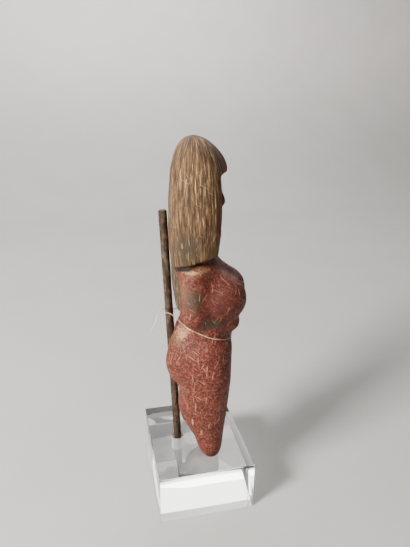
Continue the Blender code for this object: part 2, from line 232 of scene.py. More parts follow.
class ClaySettings(bpy.types.PropertyGroup):
    """Colours and relief of the clay."""

    slip: colour_setting("Slip", "Burnished red slip", (0.17, 0.037, 0.023))
    # The dark slip also serves as painted shade in the creases
    slip_dark: colour_setting("Dark slip", "Slip where the fire darkened it", (0.055, 0.013, 0.009))
    # The soot colour also serves as painted shade on the hair's back edge and tail
    soot_and_shade: colour_setting("Soot", "Grey-green fire clouds", (0.055, 0.042, 0.026))
    scratch: colour_setting("Scratches", "Pale lines worn through the slip", (0.47, 0.205, 0.135))
    # The crust colour also serves as painted highlight on the shoulders and down the near leg
    crust_and_highlight: colour_setting("Crust", "Cream deposit in hollows and lines", (0.62, 0.34, 0.195))
    hair: colour_setting("Hair", "Bare tan-brown clay of the hair", (0.18, 0.1, 0.047))
    hair_dark: colour_setting("Dark hair", "Dark brown in the lines of the hair", (0.043, 0.024, 0.012))
    hair_pale: colour_setting("Pale hair", "Pale worn lines of the hair", (0.56, 0.35, 0.17))
    lock_depth: FloatProperty(
        name="Lock depth", description="Depth of the combed lines", default=0.16 * MM, unit="LENGTH"
    )


class MountSettings(bpy.types.PropertyGroup):
    """Finish of the rod, the block and the thread."""

    metal: colour_setting("Metal", "Brown patina of the rod", (0.034, 0.02, 0.012))
    metal_worn: colour_setting("Worn metal", "Rod where the patina is rubbed", (0.16, 0.105, 0.07))
    acrylic: colour_setting("Acrylic", "Clear acrylic of the block", (0.985, 0.99, 0.99))
    edge_round: FloatProperty(
        name="Block edge", description="Rounding of the block's edges", default=0.2 * MM, unit="LENGTH"
    )


class StageSettings(bpy.types.PropertyGroup):
    """Floor and light."""

    floor: colour_setting("Floor", "Pale floor", (0.55, 0.54, 0.52))
    backdrop: colour_setting("Backdrop", "Paler upper part of the backdrop", (0.88, 0.84, 0.82))
    room_light: FloatProperty(
        name="Room light", description="Even light from all round", default=0.3, min=0.0
    )
    key_power: FloatProperty(
        name="Key light", description="Soft light from the upper left", default=9.2, unit="POWER"
    )
    panel_power: FloatProperty(
        name="Panels",
        description="Panels behind and in front that show in gloss and in the clear block",
        default=26.0,
        unit="POWER",
    )
    wall_power: FloatProperty(
        name="Wall light", description="Light on the backdrop", default=4.0, unit="POWER"
    )


class Field:
    """A shader value that reads like a number in an expression."""

    def __init__(self, finish, socket):
        self.finish = finish
        self.socket = socket

    def math(self, operation, *values):
        return self.finish.node("ShaderNodeMath", {"operation": operation}, dict(enumerate(values)))

    def __add__(self, other):
        return self.math("ADD", self, other)

    __radd__ = __add__

    def __sub__(self, other):
        return self.math("SUBTRACT", self, other)

    def __rsub__(self, other):
        return self.math("SUBTRACT", other, self)

    def __mul__(self, other):
        return self.math("MULTIPLY", self, other)

    __rmul__ = __mul__

    def above(self, low, high):
        """0 below low, 1 above high, smooth between. With high under low it falls instead."""
        settings = {"interpolation_type": "SMOOTHSTEP"}
        ends = {"Value": self, "From Min": low, "From Max": high}
        if high < low:
            ends = {"Value": self, "From Min": high, "From Max": low, "To Min": 1.0, "To Max": 0.0}
        return self.finish.node("ShaderNodeMapRange", settings, ends)

    def most(self, other):
        return self.math("MAXIMUM", self, other)


class Finish:
    """A material made from expressions on shader values."""

    def __init__(self, name, **constants):
        self.material = bpy.data.materials.new(name)
        self.material.use_nodes = True
        self.tree = self.material.node_tree
        self.shader = self.tree.nodes["Principled BSDF"]
        for socket, value in constants.items():
            self.shader.inputs[socket.replace("_", " ")].default_value = value

    def node(self, kind, settings=None, inputs=None, output=0):
        """A node with its settings and the values or links of its sockets, as the field of one output."""
        made = self.tree.nodes.new(kind)
        for name, value in (settings or {}).items():
            setattr(made, name, value)
        for socket, value in (inputs or {}).items():
            if isinstance(value, Field):
                self.tree.links.new(value.socket, made.inputs[socket])
            else:
                made.inputs[socket].default_value = value
        return Field(self, made.outputs[output])

    def attribute(self, name, output="Fac"):
        return self.node("ShaderNodeAttribute", {"attribute_name": name}, output=output)

    def object_place(self):
        """The place on the object, in millimetres."""
        place = self.node("ShaderNodeTexCoord", output="Object")
        return self.scaled(place, (1000.0, 1000.0, 1000.0))

    def scaled(self, place, scale, shift=(0.0, 0.0, 0.0)):
        return self.node("ShaderNodeMapping", None, {"Vector": place, "Scale": scale, "Location": shift})

    def clouds(self, place, size, detail=3.0, roughness=0.55, warp=0.0, shift=0.0):
        """Noise from 0 to 1 with features about this many of the place's units across."""
        here = self.scaled(place, (1.0, 1.0, 1.0), (shift, -shift, 2.0 * shift)) if shift else place
        values = {"Vector": here, "Scale": 1.0 / size, "Detail": detail}
        values.update({"Roughness": roughness, "Distortion": warp})
        return self.node("ShaderNodeTexNoise", None, values)

    def bent(self, place, size, depth):
        """A place moved about by slow noise, so that straight patterns wander."""
        values = {"Vector": place, "Scale": 1.0 / size, "Detail": 1.0}
        drift = self.node("ShaderNodeTexNoise", None, values, "Color")
        settings = {"operation": "MULTIPLY_ADD"}
        return self.node("ShaderNodeVectorMath", settings, {0: drift, 1: (depth, depth, depth), 2: place})

    def cells(self, place, size):
        """Distance from the middles of flat cells, in cell sizes."""
        settings = {"voronoi_dimensions": "2D", "feature": "F1"}
        return self.node("ShaderNodeTexVoronoi", settings, {"Vector": place, "Scale": 1.0 / size}, "Distance")

    def along(self, place, axis):
        """One coordinate of a place."""
        return self.node("ShaderNodeSeparateXYZ", None, {"Vector": place}, axis)

    def mix(self, first, second, share):
        """One colour laid over another by a share from 0 to 1."""
        values = {0: share}
        for socket, value in ((6, first), (7, second)):
            values[socket] = value if isinstance(value, Field) else (*value, 1.0)
        return self.node("ShaderNodeMix", {"data_type": "RGBA", "clamp_factor": True}, values, 2)

    def shade(self, colour, amount):
        """A colour made lighter or darker by a factor."""
        return self.node("ShaderNodeVectorMath", {"operation": "SCALE"}, {0: colour, "Scale": amount})

    def feed(self, **links):
        """Leads fields into the shader's sockets."""
        for socket, value in links.items():
            self.tree.links.new(value.socket, self.shader.inputs[socket.replace("_", " ")])

    def relief(self, height, depth):
        """Bumps of the surface from a height field, at most this many metres deep."""
        values = {"Height": height, "Distance": depth, "Strength": 1.0}
        self.feed(Normal=self.node("ShaderNodeBump", None, values))


def smooth_step(value, low, high):
    t = np.clip((value - low) / (high - low), 0.0, 1.0)
    return t * t * (3.0 - 2.0 * t)


def figurine_place():
    """From the upright figurine's frame to where it stands, leaned and turned."""
    place = Matrix.Translation(Vector(STAND_AT) * MM)
    turned = Matrix.Rotation(math.radians(TURN), 4, "Z")
    back = Matrix.Rotation(math.radians(-LEAN_BACK), 4, "Y")
    left = Matrix.Rotation(math.radians(-LEAN_LEFT), 4, "X")
    return place @ turned @ (back @ left)


def deselect_all():
    bpy.ops.object.select_all(action="DESELECT")


def make_active(thing):
    deselect_all()
    thing.select_set(True)
    bpy.context.view_layer.objects.active = thing


def finished(thing, name, finish, replaced):
    """Names a piece, puts its place in its mesh, gives it its finish and ties it to the model."""
    make_active(thing)
    bpy.ops.object.transform_apply(location=True, rotation=True, scale=True)
    thing.name = name
    thing.data.name = name
    thing.data.materials.clear()
    for material in finish:
        thing.data.materials.append(material)
    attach(thing, "root")
    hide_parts(replaced)


# The clay


def read_points(mesh):
    flat = np.empty(len(mesh.vertices) * 3)
    mesh.vertices.foreach_get("co", flat)
    return flat.reshape(-1, 3)


def read_normals(mesh):
    flat = np.empty(len(mesh.vertices) * 3)
    mesh.vertex_normals.foreach_get("vector", flat)
    return flat.reshape(-1, 3)


def write_attribute(mesh, name, values):
    """A number or a vector at every point of a mesh."""
    values = np.asarray(values, float)
    kind, field = ("FLOAT_VECTOR", "vector") if values.ndim == 2 else ("FLOAT", "value")
    layer = mesh.attributes.new(name, kind, "POINT")
    layer.data.foreach_set(field, values.ravel())


def roughness_of(points, size, seed):
    """Smooth noise from about -1 to 1 at each point, with features of this size."""
    shift = Vector((seed * 7.3, seed * 3.1, seed * 5.7))
    return np.array([noise.noise(Vector(p) / size + shift) for p in points])


def fine_copy(node):
    """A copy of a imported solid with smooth, finer faces."""
    source = frame["nodes"][node]
    make_active(source)
    bpy.ops.object.duplicate()
    thing = bpy.context.view_layer.objects.active
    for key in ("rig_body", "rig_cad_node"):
        if key in thing:
            del thing[key]
    thing.parent = None
    bpy.ops.object.mode_set(mode="EDIT")
    bpy.ops.mesh.select_all(action="SELECT")
    bpy.ops.mesh.remove_doubles(threshold=1e-6)
    bpy.ops.mesh.tris_convert_to_quads(face_threshold=math.radians(60), shape_threshold=math.radians(60))
    bpy.ops.object.mode_set(mode="OBJECT")
    thing.modifiers.new("Finer", "SUBSURF").levels = 2
    thing.modifiers["Finer"].render_levels = 2
    bpy.ops.object.modifier_apply(modifier="Finer")
    bpy.ops.object.mode_set(mode="EDIT")
    bpy.ops.mesh.customdata_custom_splitnormals_clear()
    bpy.ops.object.mode_set(mode="OBJECT")
    bpy.ops.object.shade_smooth()
    return thing


def hair_mask(points):
    """1 on the hair and its tail down the back, 0 on the skin."""
    x, y, z = points.T
    edge = HAIR_EDGE + EDGE_SLOPE * (x - EDGE_FROM_X)
    helmet = smooth_step(z - edge, -0.4, 0.1)
    half_width = FACE_HALF_WIDTH - FACE_NARROWING * smooth_step(CHIN + 9.0 - z, 0.0, 12.0)
    in_width = smooth_step(half_width + 0.9 - np.abs(y), 0.0, 0.8)
    under_fringe = smooth_step(FRINGE - FRINGE_SAG * y ** 2 + 0.2 - z, 0.0, 0.8)
    in_front = smooth_step(x, 0.0, FACE_FROM_X)
    back = TAIL_BACK + 0.01 * (70.0 - z) ** 2
    middle, depth = (back + TAIL_FRONT) / 2, (TAIL_FRONT - back) / 2
    ring = np.abs((x - middle) / depth) ** TAIL_SQUARENESS + np.abs(y / TAIL_HALF_WIDTH) ** TAIL_SQUARENESS
    above_end = smooth_step(z, HAIR_TAIL - 0.4, HAIR_TAIL + 0.2)
    tail = smooth_step(1.16 - ring, 0.0, 0.12) * above_end * (x < middle)
    return np.maximum(helmet * (1.0 - in_width * under_fringe * in_front), tail)


def soft_spot(points, centre, radii):
    """1 at the centre of a patch, 0 outside its radii."""
    apart = np.linalg.norm((points - np.array(centre)) / np.array(radii), axis=1)
    return smooth_step(1.0 - apart, 0.0, 0.8)


# Patches of the surface: centre and radii on the upright figurine
SOOT_AND_SHADE_PATCHES = [
    ((-2.5, -14.0, 64.0), (6.0, 9.0, 11.0)),
    ((2.0, -13.0, 54.5), (8.0, 7.0, 4.5)),
    ((-4.0, -14.0, 81.0), (8.0, 9.0, 9.0)),
    # Partly soot, partly painted shade on the hair's back edge, which is turned from the light
    ((-11.0, -9.0, 98.0), (3.6, 8.0, 22.0)),
    # Painted shade: the rod's shadow and the shade between the arm and the hair's tail
    ((-10.0, -8.0, 66.0), (7.5, 11.0, 16.0)),
    ((10.0, 10.0, 62.0), (8.0, 8.0, 10.0)),
    ((-4.0, 15.0, 36.0), (7.0, 6.0, 12.0)),
]
RED_PATCHES = [
    ((7.0, -14.0, 62.0), (11.0, 10.0, 13.0)),
    ((7.0, -9.0, 90.0), (8.0, 10.0, 20.0)),
    ((11.0, -5.0, 107.0), (9.0, 10.0, 9.0)),
    ((6.0, 8.0, 30.0), (9.0, 9.0, 20.0)),
    ((8.0, 9.0, 64.0), (8.0, 8.0, 8.0)),
]
BARE_PATCHES = [
    ((-2.0, -12.0, 73.0), (9.0, 9.0, 5.0)),
    ((-4.0, -13.0, 66.0), (6.0, 8.0, 9.0)),
    ((-7.5, -10.0, 49.0), (6.0, 8.0, 7.0)),
    ((-3.0, 12.0, 72.0), (9.0, 9.0, 5.0)),
    ((-6.0, 10.0, 48.0), (6.0, 8.0, 7.0)),
]
CRUST_AND_HIGHLIGHT_PATCHES = [
    ((-7.0, -10.0, 51.0), (6.0, 8.0, 4.5)),
    ((-8.5, -11.0, 57.0), (2.0, 8.0, 10.0)),
    # Painted highlight: a thin pale band along the lit top of the near shoulder
    ((-3.0, -13.0, 73.0), (8.5, 8.0, 1.2)),
    # Partly crust, partly painted highlight: thin pale streaks down the lit back edge of the near leg
    ((-3.9, -13.5, 24.0), (0.55, 5.0, 5.0)),
    ((-5.4, -12.0, 17.5), (0.65, 5.0, 3.5)),
    ((-2.6, -11.0, 12.0), (0.55, 5.0, 3.0)),
    # Painted highlight: the same thin band on the top of the far shoulder
    ((-5.0, 12.0, 74.0), (7.0, 8.0, 2.0)),
    ((-7.0, 10.0, 50.0), (5.0, 8.0, 5.0)),
]
PATCHES = {"soot_and_shade": SOOT_AND_SHADE_PATCHES, "red": RED_PATCHES, "bare": BARE_PATCHES, "crust_and_highlight": CRUST_AND_HIGHLIGHT_PATCHES}


def patch_mask(points, patches):
    mask = np.zeros(len(points))
    for centre, radii in patches:
        mask = np.maximum(mask, soft_spot(points, centre, radii))
    return mask


def hollows(mesh, points, normals):
    """0 on swellings of the surface, up to 1 deep in its creases."""
    edges = np.empty(len(mesh.edges) * 2, int)
    mesh.edges.foreach_get("vertices", edges)
    first, last = edges.reshape(-1, 2).T
    count = np.bincount(edges, minlength=len(points)).astype(float)

    def around(values):
        total = np.bincount(first, values[last], len(points)) + np.bincount(last, values[first], len(points))
        return total / count

    smooth = points.copy()
    for _ in range(24):
        smooth = np.column_stack([around(smooth[:, axis]) for axis in range(3)])
    sunk = np.einsum("ij,ij->i", smooth - points, normals)
    for _ in range(3):
        sunk = around(sunk)
    return np.clip(sunk / FULL_HOLLOW, 0.0, 1.0)


def face_cuts(points):
    """1 in the slits of the eyes and the mouth, 0 away from them."""
    x, y, z = points.T
    cuts = np.zeros(len(points))
    for inner, outer, height in FACE_SLITS:
        past = np.maximum(np.maximum(inner - np.abs(y), np.abs(y) - outer), 0.0)
        inside = SLIT_HALF_WIDTH - np.hypot(past, z - height)
        cuts = np.maximum(cuts, smooth_step(inside, 0.0, SLIT_HALF_WIDTH))
    return cuts * (x > FACE_FROM_X)


def beside_nose(points):
    """1 in the shallow hollows on both sides of the nose, 0 away from them."""
    x, y, z = points.T
    across = np.abs(y) - NOSE_HOLLOW_Y
    along = smooth_step(z, 92.0, 94.5) * smooth_step(100.5 - z, 0.0, 2.5)
    return np.exp(-across ** 2) * along * (x > FACE_FROM_X)


def edge_gap(points):
    """1 in the shadowed cut under the hair's lower edge, 0 away from it."""
    x, y, z = points.T
    below = HAIR_EDGE + EDGE_SLOPE * (x - EDGE_FROM_X) - z
    reach = 1.1 + 1.0 * smooth_step(-x, -2.0, 6.0)
    band = smooth_step(below, -0.25, 0.15) * smooth_step(reach - below, 0.0, 0.9)
    return band * smooth_step(x, -10.0, -7.5) * smooth_step(8.0 - x, 0.0, 2.0) * (np.abs(y) > 3.0)


def carve(points, hair, lock_depth):
    """How far out each point of the clay moves: combed lines, the cut edges and the hand's unevenness."""
    x, y, z = points.T
    around = np.arctan2(y, x - MIDDLE_X)
    wander = roughness_of(points * (1.0, 1.0, 0.25), 6.0, 1.0)
    lines = COMBED_LINES * around / (2.0 * math.pi) + 0.9 * wander
    groove = np.abs(2.0 * (lines % 1.0) - 1.0) ** 3
    ends = smooth_step(CROWN - z, 0.6, 5.0) * smooth_step(z, HAIR_TAIL, HAIR_TAIL + 3.0)
    patchy = 0.55 + 0.45 * roughness_of(points * (1.0, 1.0, 0.35), 4.0, 2.0)
    combed = -lock_depth * groove * ends * patchy * hair
    hand = HAND_BROAD * roughness_of(points, 9.0, 3.0) + HAND_CLOSE * roughness_of(points, 3.0, 4.0)
    grain = GRAIN_DEPTH * roughness_of(points, 0.9, 5.0)
    nose = smooth_step(z, 92.5, 94.0) * smooth_step(99.5 - z, 0.0, 3.0) * (x > FACE_FROM_X)
    ridge = np.exp(-(y / RIDGE_HALF_WIDTH) ** 2) * nose
    face = RIDGE_RISE * ridge - SLIT_DEPTH * face_cuts(points) - NOSE_HOLLOW_DEPTH * beside_nose(points)
    return combed + hand + grain + face


def clay_finish(settings):
    """Burnished red slip with scratches, soot and crust, and combed hair of bare brown clay, with painted shade
    in its creases, its cuts and on the hair's back, and painted highlights on the shoulders and a leg.
    """
    clay = Finish("burnished_clay", IOR=1.45, Specular_IOR_Level=0.27)
    here = clay.attribute("upright", "Vector")
    combed = clay.attribute("combed", "Vector")
    unrolled = clay.attribute("unrolled", "Vector")
    hair, soot_and_shade, red, bare, crust_and_highlight, hollow, cut_shade = (
        clay.attribute(name) for name in ("hair", "soot_and_shade", "red", "bare", "crust_and_highlight", "hollow", "cut_shade")
    )
    broad = clay.clouds(here, 8.0, 4.0, 0.6).above(0.3, 0.7)
    mottle = clay.clouds(here, 2.4, 4.0, 0.7).above(0.34, 0.66)
    fine = clay.clouds(here, 0.7, 3.0, 0.7).above(0.34, 0.66)
    breaks = clay.clouds(here, 1.7, 3.0, 0.6, 0.0, 11.0)
    rubbed = clay.clouds(here, 6.0, 2.0, 0.5, 0.0, 31.0).above(0.35, 0.65)

    def cover(mask, pattern):
        """Where a patch shows: everywhere at its heart, only on the pattern's peaks towards its edge."""
        return (mask * 1.3 + pattern - 1.0).above(0.0, 0.9)

    def dashes(turn, size, width, stretch, shift):
        """Short unequal scratches along one direction of the unrolled surface, thicker set where rubbed."""
        values = {"Vector": wavy, "Rotation": (0.0, 0.0, turn), "Location": (shift, -shift, 0.0)}
        turned = clay.scaled(clay.node("ShaderNodeMapping", None, values), (1.0, stretch, 1.0))
        off = clay.cells(turned, size) * (2.3 - 1.2 * breaks - 0.9 * rubbed)
        return off.above(width, width * 0.5)

    wavy = clay.bent(unrolled, 4.0, 0.7)
    cuts = dashes(0.1, 1.7, 0.075, 0.07, 3.0)
    for turn, shift in ((0.55, 13.0), (-0.5, 26.0), (-0.95, 41.0)):
        cuts = cuts.most(dashes(turn, 2.1, 0.06, 0.07, shift))
    hairlines = dashes(-0.2, 0.9, 0.065, 0.06, 43.0)
    for turn, shift in ((0.9, 53.0), (-0.9, 67.0)):
        hairlines = hairlines.most(dashes(turn, 1.0, 0.06, 0.06, shift))
    scored = cuts.most(hairlines * 0.65)

    slip = clay.mix(settings.slip, settings.slip_dark, broad * 0.4)
    slip = clay.mix(slip, settings.slip_dark, mottle * 0.6)
    slip = clay.mix(slip, settings.scratch, fine.above(0.55, 1.0) * 0.3)
    slip = clay.mix(slip, settings.slip_dark, fine.above(0.4, 0.0) * 0.65)
    slip = clay.mix(slip, settings.slip_dark, red * (0.45 + 0.4 * mottle))
    slip = clay.mix(slip, settings.hair, cover(bare, mottle * 0.6 + fine * 0.4) * 0.8)
    slip = clay.mix(slip, settings.soot_and_shade, cover(soot_and_shade, mottle * 0.6 + fine * 0.3) * 0.92)
    # Crust, and painted highlights along the shoulders' tops and down the near leg
    slip = clay.mix(slip, settings.crust_and_highlight, cover(crust_and_highlight, mottle * 0.3 + fine * 0.5) * 0.7)
    slip = clay.mix(slip, settings.scratch, scored * (0.9 - red * 0.65))
    slip = clay.mix(slip, settings.crust_and_highlight, cuts * breaks.above(0.45, 0.65) * (0.6 - 0.55 * red))
    # Painted shade: the dark slip is laid into the creases, where shade falls
    slip = clay.mix(slip, settings.slip_dark, hollow.above(0.15, 0.9) * 0.6)

    strands = clay.clouds(clay.scaled(combed, (1.0, 1.0, 0.08)), 0.5, 3.0, 0.65, 0.3)
    tufts = clay.clouds(clay.scaled(combed, (1.0, 1.0, 0.12)), 2.4, 3.0, 0.6, 0.3, 5.0)
    grain = clay.clouds(clay.scaled(here, (0.5, 0.5, 2.0)), 0.5, 2.0, 0.6)

    def threads(size, width, shift):
        """Thin lines that run down the hair, wander a little and break off."""
        run = clay.scaled(wavy, (1.0, 0.05, 1.0), (shift, -shift, 0.0))
        off = clay.cells(run, size) * (2.8 - 1.2 * breaks - 1.6 * rubbed)
        return off.above(width, width * 0.5)

    lines = threads(0.8, 0.1, 3.0).most(threads(1.5, 0.065, 19.0)).most(cuts * 0.3)
    furrows = threads(0.8, 0.2, 29.0).most(threads(1.3, 0.13, 47.0))
    hair_clay = clay.mix(settings.hair, settings.hair_dark, strands.above(0.56, 0.42) * 0.85)
    hair_clay = clay.mix(hair_clay, settings.hair_dark, tufts.above(0.45, 0.7) * 0.5)
    hair_clay = clay.mix(hair_clay, settings.hair_pale, strands.above(0.56, 0.70) * 0.45)
    hair_clay = clay.mix(hair_clay, settings.hair_dark, grain.above(0.5, 0.75) * 0.4)
    hair_clay = clay.mix(hair_clay, settings.slip_dark, cover(red, mottle * 0.5 + fine * 0.4) * 0.4)
    hair_clay = clay.mix(hair_clay, settings.slip, cover(red, mottle * 0.4 + fine * 0.3) * 0.6)
    # Soot, and painted shade: the soot patches lie near full strength on the hair, darkening its back edge and
    # its tail in the rod's shadow
    hair_clay = clay.mix(hair_clay, settings.soot_and_shade, soot_and_shade * 0.7 + cover(soot_and_shade, mottle * 0.5 + fine * 0.4) * 0.2)
    hair_clay = clay.mix(hair_clay, settings.hair_dark, furrows * 0.7)
    hair_clay = clay.mix(hair_clay, settings.hair_pale, lines * (0.95 - red * 0.5))

    colour = clay.mix(slip, hair_clay, hair)
    # Painted shade: the cut under the hair's edge and the eye and mouth slits darkened to near black
    clay.feed(Base_Color=clay.mix(colour, CUT_SHADOW, cut_shade))
    clay.feed(Roughness=0.44 + 0.2 * hair + 0.2 * scored * (1.0 - hair) + 0.25 * crust_and_highlight + 0.2 * mottle)
    skin_height = 0.35 * fine + 0.5 * mottle - 0.8 * scored
    hair_height = 2.0 * strands + 0.5 * fine + 0.5 * tufts - 0.6 * furrows
    clay.relief(skin_height * (1.0 - hair) + hair_height * hair, CLAY_BUMP * MM)
    return clay.material


class FIGURINE_OT_clay(bpy.types.Operator):
    """Makes the figurine's worn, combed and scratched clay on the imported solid's form."""

    bl_idname = "figurine.clay"
    bl_label = "Clay figurine"

    def execute(self, context):
        settings = context.scene.clay_settings
        thing = fine_copy("figurine")
        mesh = thing.data
        place = figurine_place()
        turn = np.array(place.to_3x3())
        points = (read_points(mesh) - np.array(place.translation)) @ turn / MM
        normals = read_normals(mesh) @ turn
        hair = hair_mask(points)
        moved = points + normals * carve(points, hair, settings.lock_depth / MM)[:, None]
        angle = np.arctan2(points[:, 1], points[:, 0] - MIDDLE_X)
        around = (UNROLL_RADIUS * np.cos(angle), UNROLL_RADIUS * np.sin(angle))
        write_attribute(mesh, "upright", points)
        write_attribute(mesh, "combed", np.column_stack([*around, points[:, 2]]))
        write_attribute(mesh, "unrolled", np.column_stack([UNROLL_RADIUS * angle, points[:, 2], 0.0 * angle]))
        write_attribute(mesh, "hair", hair)
        for name, patches in PATCHES.items():
            write_attribute(mesh, name, patch_mask(points, patches))
        # How deep each point lies in a crease, for the painted shade there
        write_attribute(mesh, "hollow", hollows(mesh, points, normals))
        # Painted shade in the cut under the hair's lower edge and in the slits of the eyes and the mouth
        write_attribute(mesh, "cut_shade", np.maximum(edge_gap(points), 0.85 * face_cuts(points)))
        mesh.vertices.foreach_set("co", ((moved * MM) @ turn.T + np.array(place.translation)).ravel())
        mesh.update()
        finished(thing, "clay_figure", [clay_finish(settings)], "figurine")
        return {"FINISHED"}


# The mount


def rod_finish(settings):
    """Brown patina, rubbed lighter in streaks and spots."""
    metal = Finish("dark_metal", Metallic=0.3, Specular_IOR_Level=0.3)
    here = metal.object_place()
    drawn = metal.scaled(here, (1.0, 1.0, 0.12))
    streaks = metal.clouds(drawn, 0.6, 3.0, 0.6)
    spots = metal.clouds(here, 1.8, 4.0, 0.65)
    colour = metal.mix(settings.metal, settings.metal_worn, (streaks * 0.6 + spots * 0.5).above(0.48, 0.72))
    metal.feed(Base_Color=colour, Roughness=0.42 + 0.3 * spots)
    metal.relief(streaks * 0.5 + spots, ROD_BUMP * MM)
    return metal.material


class FIGURINE_OT_rod(bpy.types.Operator):
    """Makes the thin rod that holds the figurine up."""

    bl_idname = "figurine.rod"
    bl_label = "Support rod"

    def execute(self, context):
        foot, top = Vector(ROD_FOOT) * MM, Vector(ROD_TOP) * MM
        deselect_all()
        bpy.ops.mesh.primitive_cylinder_add(vertices=48, radius=ROD_RADIUS * MM, depth=(top - foot).length)
        rod = bpy.context.active_object
        bpy.ops.object.mode_set(mode="EDIT")
        bpy.ops.mesh.select_all(action="DESELECT")
        bpy.ops.mesh.select_mode(type="EDGE")
        bpy.ops.object.mode_set(mode="OBJECT")
        for edge in rod.data.edges:
            heights = [rod.data.vertices[i].co.z for i in edge.vertices]
            edge.select = abs(heights[0] - heights[1]) < 1e-6
        bpy.ops.object.mode_set(mode="EDIT")
        bpy.ops.mesh.bevel(offset=ROD_END_ROUND * MM, segments=5, affect="EDGES")
        bpy.ops.object.mode_set(mode="OBJECT")
        rod.rotation_euler = (top - foot).to_track_quat("Z", "Y").to_euler()
        rod.location = (foot + top) / 2
        make_active(rod)
        bpy.ops.object.shade_smooth_by_angle(angle=math.radians(35))
        finished(rod, "rod", [rod_finish(context.scene.mount_settings)], "support_rod")
        return {"FINISHED"}


def block_finish(settings):
    """Clear acrylic with polished faces."""
    tint = (*settings.acrylic, 1.0)
    clear = Finish("clear_acrylic", Base_Color=tint, Roughness=0.0, IOR=ACRYLIC_IOR, Transmission_Weight=1.0)
    return clear.material


def hole_finish():
    """The drilled hole's frosted wall."""
    tint = (*FROSTED_WALL, 1.0)
    frosted = Finish("frosted_acrylic", Base_Color=tint, Roughness=0.6, IOR=1.3, Transmission_Weight=0.15)
    return frosted.material


def underside_finish():
    """The block's underside, tinted dark as painted shade for the shaded floor seen through the block, darker
    towards negative x and in soft clouds.
    """
    shade_tint = Finish("shade_tinted_acrylic", Roughness=0.03, IOR=ACRYLIC_IOR, Transmission_Weight=1.0)
    here = shade_tint.object_place()
    across = shade_tint.along(here, "X")
    shade_clouds = shade_tint.clouds(here, 9.0, 3.0)
    lighter = (across * 0.02 + shade_clouds).above(0.15, 0.95)
    shade_tint.feed(Base_Color=shade_tint.mix(UNDERSIDE_SHADE_DARK, UNDERSIDE_SHADE_PALE, lighter))
    return shade_tint.material


class FIGURINE_OT_block(bpy.types.Operator):
    """Makes the clear block with its drilled hole."""

    bl_idname = "figurine.block"
    bl_label = "Acrylic block"

    def execute(self, context):
        settings = context.scene.mount_settings
        low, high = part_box("acrylic_block")
        size = high - low
        deselect_all()
        bpy.ops.mesh.primitive_cube_add(size=1.0, location=(low + high) / 2, scale=size)
        block = bpy.context.active_object
        bpy.ops.object.transform_apply(location=True, rotation=True, scale=True)
        bpy.ops.object.mode_set(mode="EDIT")
        bpy.ops.mesh.select_all(action="SELECT")
        bpy.ops.mesh.bevel(offset=settings.edge_round, segments=3, affect="EDGES")
        bpy.ops.object.mode_set(mode="OBJECT")
        top = high.z
        deselect_all()
        hole_at = (HOLE_AT[0] * MM, HOLE_AT[1] * MM, top + (DRILL_PAST_TOP / 2 - HOLE_DEPTH / 2) * MM)
        reach = (HOLE_DEPTH + DRILL_PAST_TOP) * MM
        bpy.ops.mesh.primitive_cylinder_add(
            vertices=96, radius=HOLE_RADIUS * MM, depth=reach, location=hole_at
        )
        drill = bpy.context.active_object
        make_active(block)
        cut = block.modifiers.new("Hole", "BOOLEAN")
        cut.operation = "DIFFERENCE"
        cut.object = drill
        bpy.ops.object.modifier_apply(modifier="Hole")
        bpy.data.objects.remove(drill)
        finishes = [block_finish(settings), hole_finish(), underside_finish()]
        finished(block, "block", finishes, "acrylic_block")
        for face in block.data.polygons:
            across = Vector((face.center.x - hole_at[0], face.center.y - hole_at[1])).length
            below_top = low.z + 1.0 * MM < face.center.z < top - 0.01 * MM
            in_hole = across < (HOLE_RADIUS + 0.05) * MM and below_top
            # Bottom faces take the underside's painted shade tint, the hole's wall the frosted finish
            face.material_index = 2 if face.normal.z < -0.99 else int(in_hole)
        bpy.ops.object.shade_smooth_by_angle(angle=math.radians(30))
        return {"FINISHED"}


# The thread


def smooth_route(knots, step):
    """Points an even step apart on the smooth curve through the knots."""
    knots = np.array(knots, float)
    padded = np.vstack([2 * knots[0] - knots[1], knots, 2 * knots[-1] - knots[-2]])
    fine = []
    for a, b, c, d in zip(padded, padded[1:], padded[2:], padded[3:]):
        for t in np.arange(0.0, 1.0, 0.05):
            square, cube = 2 * a - 5 * b + 4 * c - d, 3 * b - a - 3 * c + d
            fine.append(0.5 * (2 * b + (c - a) * t + square * t ** 2 + cube * t ** 3))
    fine = np.array(fine + [knots[-1]])
    run = np.concatenate([[0.0], np.cumsum(np.linalg.norm(np.diff(fine, axis=0), axis=1))])
    even = np.linspace(0.0, run[-1], int(round(run[-1] / step)) + 1)
    return np.column_stack([np.interp(even, run, fine[:, axis]) for axis in range(3)])


def thread_finish():
    """Clear nylon, painted cream and brown where it lies on the clay for the clay seen through it, paler at its
    loose end.
    """
    nylon = Finish("nylon", Roughness=0.2, IOR=1.53, Transmission_Weight=0.35)
    here = nylon.object_place()
    across = nylon.along(here, "X")
    see_through_mottle = nylon.clouds(here, 3.0, 2.0).above(0.4, 0.6)
    held = nylon.mix(THREAD_SEEN_THROUGH_DARK, THREAD_SEEN_THROUGH_PALE, see_through_mottle)
    nylon.feed(Base_Color=nylon.mix(held, THREAD_CLEAR, across.above(-11.0, -13.0)))
    return nylon.material


